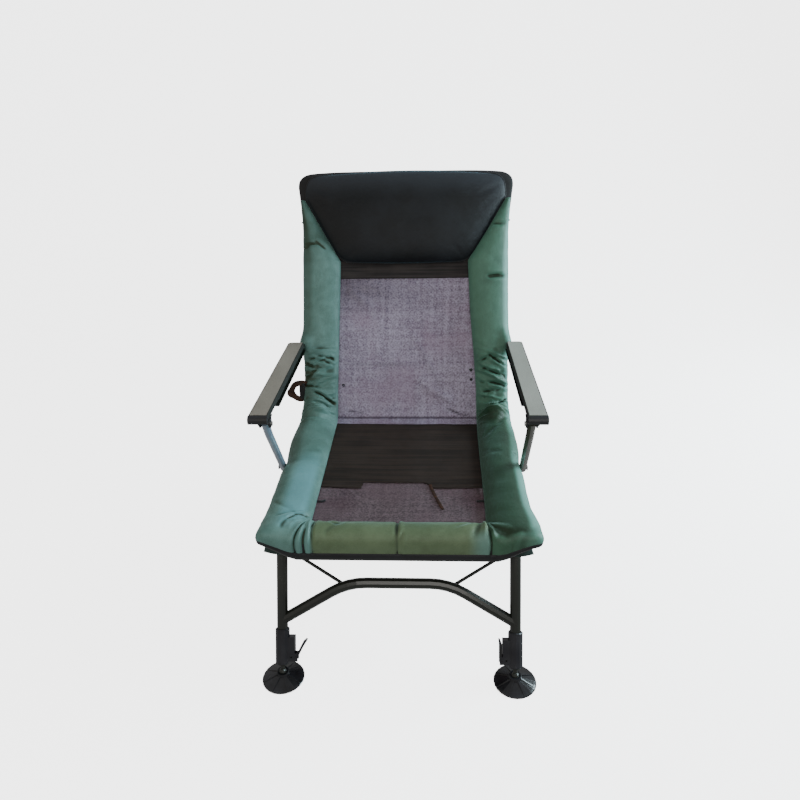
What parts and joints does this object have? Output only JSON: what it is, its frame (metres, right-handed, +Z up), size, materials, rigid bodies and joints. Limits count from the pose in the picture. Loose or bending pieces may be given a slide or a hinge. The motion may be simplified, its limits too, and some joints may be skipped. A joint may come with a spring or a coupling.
{
  "type": "carp fishing chair",
  "caption": "Folding padded fishing chair: bent steel tubes, mesh seat and reclined back, headrest pillow, armrests on posts, clamped telescopic legs and ball-jointed mud feet.",
  "frame": {"origin": "centre of the chair's ground rectangle, on the floor under the mud feet", "axes": "+Z up, +Y from the seat's front edge towards the back, +X towards the viewer's right when the chair is seen from the front"},
  "size_m": [0.662, 1.022, 0.9799],
  "materials": {
    "green_fabric": "coated woven polyester with a soft sheen",
    "black_fabric": "coated woven polyester with a bluish sheen",
    "mesh_fabric": "open woven mesh, matt",
    "band_fabric": "doubled woven panel, matt",
    "frame_steel": "dark olive powder coat, semi-gloss",
    "post_steel": "dark green paint, glossy",
    "plated_steel": "zinc plated, satin",
    "clamp_plastic": "moulded, satin",
    "foot_plastic": "moulded, glossy",
    "armrest_plastic": "moulded, matt"
  },
  "bodies": {
    "seat": {"seat_frame_tube": "frame_steel", "seat_mesh": "mesh_fabric", "seat_support_band": "band_fabric", "seat_pad_left": "green_fabric", "seat_pad_right": "green_fabric", "seat_pad_front": "green_fabric", "hinge_plate_seat_left": "plated_steel", "hinge_plate_seat_right": "plated_steel", "front_leg_bracket_left": "frame_steel", "front_leg_bracket_right": "frame_steel", "rear_leg_bracket_left": "frame_steel", "rear_leg_bracket_right": "frame_steel", "post_pivot_bolt_left": "plated_steel", "post_pivot_bolt_right": "plated_steel", "rim_fold_left": "green_fabric", "rim_fold_right": "green_fabric"},
    "back": {"back_frame_tube": "frame_steel", "back_mesh": "mesh_fabric", "back_top_band": "band_fabric", "back_pad_left": "green_fabric", "back_pad_right": "green_fabric", "back_arm_bracket_left": "plated_steel", "back_arm_bracket_right": "plated_steel", "headrest_pillow": "black_fabric", "hinge_plate_back_left": "plated_steel", "hinge_plate_back_right": "plated_steel"},
    "front_legs": {"front_leg_frame": "frame_steel", "front_leg_brace_left": "frame_steel", "front_leg_brace_right": "frame_steel", "leg_clamp_front_left": "clamp_plastic", "leg_clamp_front_right": "clamp_plastic"},
    "rear_legs": {"rear_leg_frame": "frame_steel", "leg_clamp_rear_left": "clamp_plastic", "leg_clamp_rear_right": "clamp_plastic"},
    "inner_leg_front_left": {"inner_leg_front_left": "frame_steel"},
    "inner_leg_front_right": {"inner_leg_front_right": "frame_steel"},
    "inner_leg_rear_left": {"inner_leg_rear_left": "frame_steel"},
    "inner_leg_rear_right": {"inner_leg_rear_right": "frame_steel"},
    "mud_foot_front_left": {"mud_foot_front_left": "foot_plastic"},
    "mud_foot_front_right": {"mud_foot_front_right": "foot_plastic"},
    "mud_foot_rear_left": {"mud_foot_rear_left": "foot_plastic"},
    "mud_foot_rear_right": {"mud_foot_rear_right": "foot_plastic"},
    "clamp_lever_front_left": {"clamp_lever_front_left": "clamp_plastic"},
    "clamp_lever_front_right": {"clamp_lever_front_right": "clamp_plastic"},
    "clamp_lever_rear_left": {"clamp_lever_rear_left": "clamp_plastic"},
    "clamp_lever_rear_right": {"clamp_lever_rear_right": "clamp_plastic"},
    "arm_post_left": {"arm_post_left": "post_steel"},
    "arm_post_right": {"arm_post_right": "post_steel"},
    "armrest_left": {"armrest_top_left": "armrest_plastic", "armrest_channel_left": "post_steel", "armrest_end_cap_left": "clamp_plastic", "armrest_bolt_left": "plated_steel"},
    "armrest_right": {"armrest_top_right": "armrest_plastic", "armrest_channel_right": "post_steel", "armrest_end_cap_right": "clamp_plastic", "armrest_bolt_right": "plated_steel"}
  },
  "joints": [
    {"name": "backrest_fold", "type": "hinge", "parent": "seat", "child": "back", "pos_m": [0, 0.15296, 0.377], "axis": [1, 0, 0], "range_deg": [0, 113], "deforming": ["rim_fold_left", "rim_fold_right"]},
    {"name": "arm_post_left_swing", "type": "hinge", "parent": "seat", "child": "arm_post_left", "pos_m": [-0.312, -0.06654, 0.322], "axis": [1, 0, 0], "range_deg": [0, 33]},
    {"name": "arm_post_right_swing", "type": "hinge", "parent": "seat", "child": "arm_post_right", "pos_m": [0.312, -0.06654, 0.322], "axis": [1, 0, 0], "range_deg": [0, 33]},
    {"name": "armrest_left_level", "type": "hinge", "parent": "arm_post_left", "child": "armrest_left", "pos_m": [-0.299, -0.22954, 0.541], "axis": [1, 0, 0], "range_deg": [-33, 0]},
    {"name": "armrest_right_level", "type": "hinge", "parent": "arm_post_right", "child": "armrest_right", "pos_m": [0.299, -0.22954, 0.541], "axis": [1, 0, 0], "range_deg": [-33, 0]},
    {"name": "front_legs_fold", "type": "hinge", "parent": "seat", "child": "front_legs", "pos_m": [0, -0.33454, 0.29], "axis": [1, 0, 0], "range_deg": [0, 106]},
    {"name": "rear_legs_fold", "type": "hinge", "parent": "seat", "child": "rear_legs", "pos_m": [0, 0.10546, 0.29], "axis": [1, 0, 0], "range_deg": [-98, 0]},
    {"name": "leg_front_left_extend", "type": "slide", "parent": "front_legs", "child": "inner_leg_front_left", "axis": [0, -0.4284, -0.9036], "range_m": [0, 0.09]},
    {"name": "leg_front_right_extend", "type": "slide", "parent": "front_legs", "child": "inner_leg_front_right", "axis": [0, -0.4284, -0.9036], "range_m": [0, 0.09]},
    {"name": "leg_rear_left_extend", "type": "slide", "parent": "rear_legs", "child": "inner_leg_rear_left", "axis": [0, 0.4284, -0.9036], "range_m": [0, 0.09]},
    {"name": "leg_rear_right_extend", "type": "slide", "parent": "rear_legs", "child": "inner_leg_rear_right", "axis": [0, 0.4284, -0.9036], "range_m": [0, 0.09]},
    {"name": "foot_front_left_tilt", "type": "hinge", "parent": "inner_leg_front_left", "child": "mud_foot_front_left", "pos_m": [-0.265, -0.46254, 0.02], "axis": [1, 0, 0], "range_deg": [-25, 10]},
    {"name": "foot_front_right_tilt", "type": "hinge", "parent": "inner_leg_front_right", "child": "mud_foot_front_right", "pos_m": [0.265, -0.46254, 0.02], "axis": [1, 0, 0], "range_deg": [-25, 10]},
    {"name": "foot_rear_left_tilt", "type": "hinge", "parent": "inner_leg_rear_left", "child": "mud_foot_rear_left", "pos_m": [-0.212, 0.23346, 0.02], "axis": [1, 0, 0], "range_deg": [-10, 25]},
    {"name": "foot_rear_right_tilt", "type": "hinge", "parent": "inner_leg_rear_right", "child": "mud_foot_rear_right", "pos_m": [0.212, 0.23346, 0.02], "axis": [1, 0, 0], "range_deg": [-10, 25]},
    {"name": "clamp_lever_front_left_open", "type": "hinge", "parent": "front_legs", "child": "clamp_lever_front_left", "pos_m": [-0.233, -0.44678, 0.05325], "axis": [0, 0.9036, -0.4284], "range_deg": [-27, 83]},
    {"name": "clamp_lever_front_right_open", "type": "hinge", "parent": "front_legs", "child": "clamp_lever_front_right", "pos_m": [0.233, -0.44678, 0.05325], "axis": [0, -0.9036, 0.4284], "range_deg": [0, 110]},
    {"name": "clamp_lever_rear_left_open", "type": "hinge", "parent": "rear_legs", "child": "clamp_lever_rear_left", "pos_m": [-0.18, 0.21769, 0.05325], "axis": [0, 0.9036, 0.4284], "range_deg": [0, 110]},
    {"name": "clamp_lever_rear_right_open", "type": "hinge", "parent": "rear_legs", "child": "clamp_lever_rear_right", "pos_m": [0.18, 0.21769, 0.05325], "axis": [0, -0.9036, -0.4284], "range_deg": [0, 110]}
  ],
  "couplings": [
    {"joint": "arm_post_left_swing", "follows": "backrest_fold", "ratio": 0.2894},
    {"joint": "arm_post_right_swing", "follows": "backrest_fold", "ratio": 0.2894},
    {"joint": "armrest_left_level", "follows": "backrest_fold", "ratio": -0.2894},
    {"joint": "armrest_right_level", "follows": "backrest_fold", "ratio": -0.2894}
  ]
}
